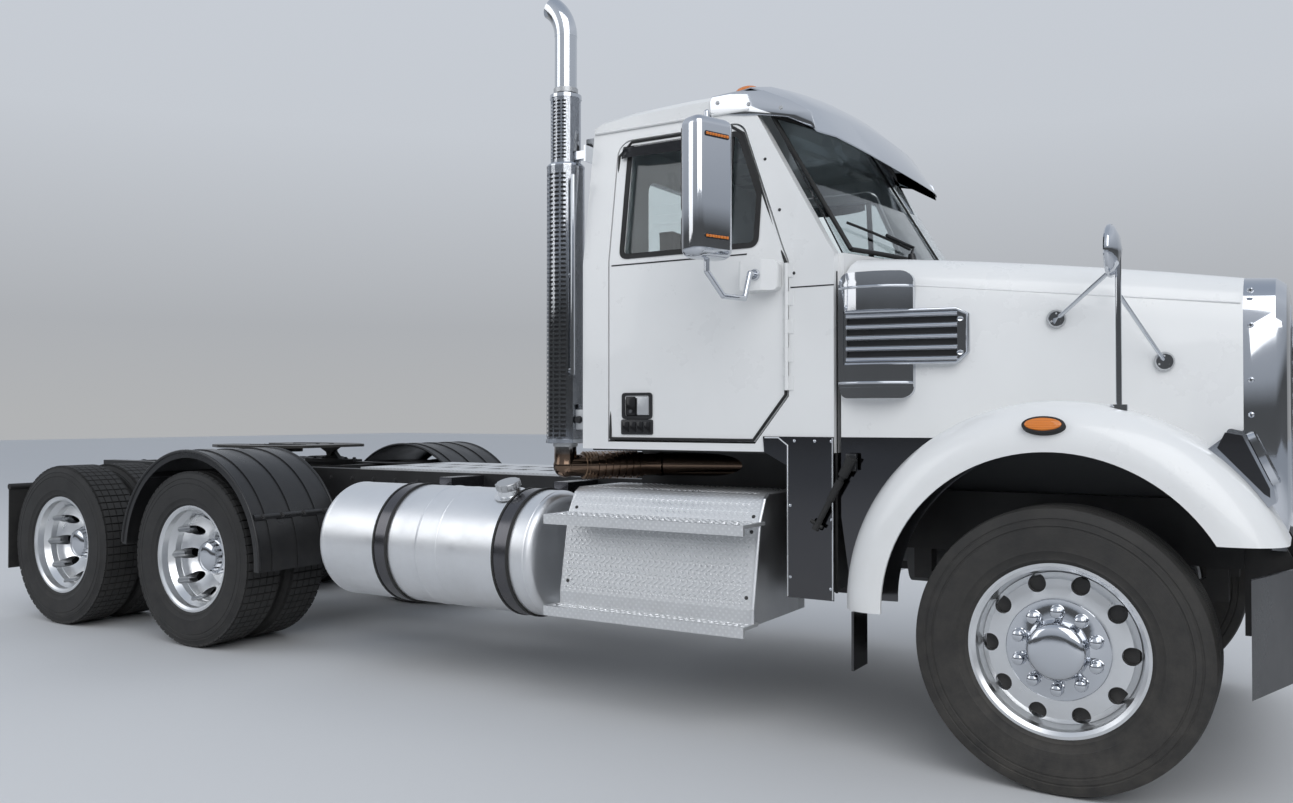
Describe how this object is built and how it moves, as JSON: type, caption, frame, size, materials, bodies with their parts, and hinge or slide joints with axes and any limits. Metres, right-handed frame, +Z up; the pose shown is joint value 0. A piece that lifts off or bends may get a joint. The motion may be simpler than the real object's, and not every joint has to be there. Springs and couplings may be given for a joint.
{
  "type": "semi truck tractor unit",
  "caption": "Conventional day-cab road tractor with a tilting hood, steered front axle, twin-tyred drive axles, a bright exhaust stack and a fifth wheel coupling for a semi-trailer.",
  "frame": {"origin": "on the ground under the middle of the truck's bounding box", "axes": "+X forward along the truck, +Y to its left, +Z up"},
  "size_m": [7.9, 2.96, 3.5046],
  "materials": {
    "white_paint": "gloss",
    "chrome": "polished",
    "polished_aluminium": "polished",
    "tread_plate": "diamond plate",
    "frame_black": "semi-gloss",
    "cast_black": "painted",
    "engine_grey": "painted",
    "greased_steel": "greased",
    "black_rubber": "matt",
    "black_plastic": "fine grain",
    "dark_gloss": "gloss",
    "tyre": "matt",
    "dark_glass": "tinted",
    "amber_lens": "clear amber",
    "red_lens": "clear red",
    "seat_cloth": "woven",
    "dash_plastic": "grained",
    "radiator_core": "matt black",
    "head_lamp": "bright, clear lens"
  },
  "bodies": {
    "chassis": {"frame_rails": "frame_black", "cross_members": "frame_black", "bumper": "chrome", "front_axle": "cast_black", "drive_axles": "cast_black", "suspension": "cast_black", "powertrain": "engine_grey", "radiator": "radiator_core", "fuel_tanks": "polished_aluminium", "tank_straps": "black_rubber", "step_boxes": "tread_plate", "exhaust_stack": "chrome", "heat_shield": "chrome", "rear_fenders": "black_plastic", "mud_flaps": "black_rubber", "tail_lamps": "red_lens", "deck_plate": "tread_plate", "fifth_wheel_base": "cast_black", "cab_floor": "white_paint", "cab_sides": "white_paint", "cab_rear_wall": "white_paint", "cab_roof": "white_paint", "cowl": "white_paint", "cab_glass": "dark_glass", "sun_visor": "chrome", "roof_lamps": "amber_lens", "cab_skirts": "dark_gloss", "seats": "seat_cloth", "dashboard": "dash_plastic", "steering_wheel": "black_plastic"},
    "fifth_wheel": {"fifth_wheel_plate": "greased_steel"},
    "hood": {"hood_shell": "white_paint", "fenders": "white_paint", "grille_surround": "chrome", "grille": "chrome", "headlamps": "head_lamp", "side_intakes": "chrome", "hood_mirrors": "chrome", "splash_panels": "dark_gloss"},
    "door_right": {"door_right": "white_paint", "door_glass_right": "dark_glass", "mirror_right": "chrome"},
    "door_left": {"door_left": "white_paint", "door_glass_left": "dark_glass", "mirror_left": "chrome"},
    "knuckle_left": {"knuckle_left": "cast_black"},
    "knuckle_right": {"knuckle_right": "cast_black"},
    "tie_rod": {"tie_rod": "cast_black"},
    "steer_wheel_right": {"steer_wheel_right": "polished_aluminium", "steer_tyre_right": "tyre"},
    "steer_wheel_left": {"steer_wheel_left": "polished_aluminium", "steer_tyre_left": "tyre"},
    "drive_wheel_front_right": {"drive_wheel_front_right": "polished_aluminium", "drive_tyre_front_right": "tyre"},
    "drive_wheel_front_left": {"drive_wheel_front_left": "polished_aluminium", "drive_tyre_front_left": "tyre"},
    "drive_wheel_rear_right": {"drive_wheel_rear_right": "polished_aluminium", "drive_tyre_rear_right": "tyre"},
    "drive_wheel_rear_left": {"drive_wheel_rear_left": "polished_aluminium", "drive_tyre_rear_left": "tyre"}
  },
  "joints": [
    {"name": "fifth_wheel_rock", "type": "hinge", "parent": "chassis", "child": "fifth_wheel", "pos_m": [-2.32421, 0, 1.1275], "axis": [0, 1, 0], "range_deg": [-11, 11]},
    {"name": "hood_tilt", "type": "hinge", "parent": "chassis", "child": "hood", "pos_m": [3.87, 0, 0.9], "axis": [0, 1, 0], "range_deg": [0, 70]},
    {"name": "door_right_hinge", "type": "hinge", "parent": "chassis", "child": "door_right", "pos_m": [2.03, -1.0093, 1.7875], "axis": [0, 0, 1], "range_deg": [0, 70]},
    {"name": "door_left_hinge", "type": "hinge", "parent": "chassis", "child": "door_left", "pos_m": [2.03, 1.0093, 1.7875], "axis": [0, 0, -1], "range_deg": [0, 70]},
    {"name": "steer_left", "type": "hinge", "parent": "chassis", "child": "knuckle_left", "pos_m": [3.17, 0.9, 0.5325], "axis": [0, 0, 1], "range_deg": [-36, 36]},
    {"name": "steer_right", "type": "hinge", "parent": "chassis", "child": "knuckle_right", "pos_m": [3.17, -0.9, 0.5325], "axis": [0, 0, 1], "range_deg": [-36, 36]},
    {"name": "tie_rod_swing", "type": "hinge", "parent": "knuckle_left", "child": "tie_rod", "pos_m": [2.95, 0.9, 0.402], "axis": [0, 0, 1], "range_deg": [-36, 36]},
    {"name": "steer_wheel_right_spin", "type": "hinge", "parent": "knuckle_right", "child": "steer_wheel_right", "pos_m": [3.17, -1.03, 0.5325], "axis": [0, 1, 0], "continuous": true},
    {"name": "steer_wheel_left_spin", "type": "hinge", "parent": "knuckle_left", "child": "steer_wheel_left", "pos_m": [3.17, 1.03, 0.5325], "axis": [0, 1, 0], "continuous": true},
    {"name": "drive_wheel_front_right_spin", "type": "hinge", "parent": "chassis", "child": "drive_wheel_front_right", "pos_m": [-1.8125, -0.915, 0.5325], "axis": [0, 1, 0], "continuous": true},
    {"name": "drive_wheel_front_left_spin", "type": "hinge", "parent": "chassis", "child": "drive_wheel_front_left", "pos_m": [-1.8125, 0.915, 0.5325], "axis": [0, 1, 0], "continuous": true},
    {"name": "drive_wheel_rear_right_spin", "type": "hinge", "parent": "chassis", "child": "drive_wheel_rear_right", "pos_m": [-3.1955, -0.915, 0.5325], "axis": [0, 1, 0], "continuous": true},
    {"name": "drive_wheel_rear_left_spin", "type": "hinge", "parent": "chassis", "child": "drive_wheel_rear_left", "pos_m": [-3.1955, 0.915, 0.5325], "axis": [0, 1, 0], "continuous": true}
  ],
  "couplings": [
    {"joint": "steer_right", "follows": "steer_left", "ratio": 1},
    {"joint": "tie_rod_swing", "follows": "steer_left", "ratio": -1}
  ]
}
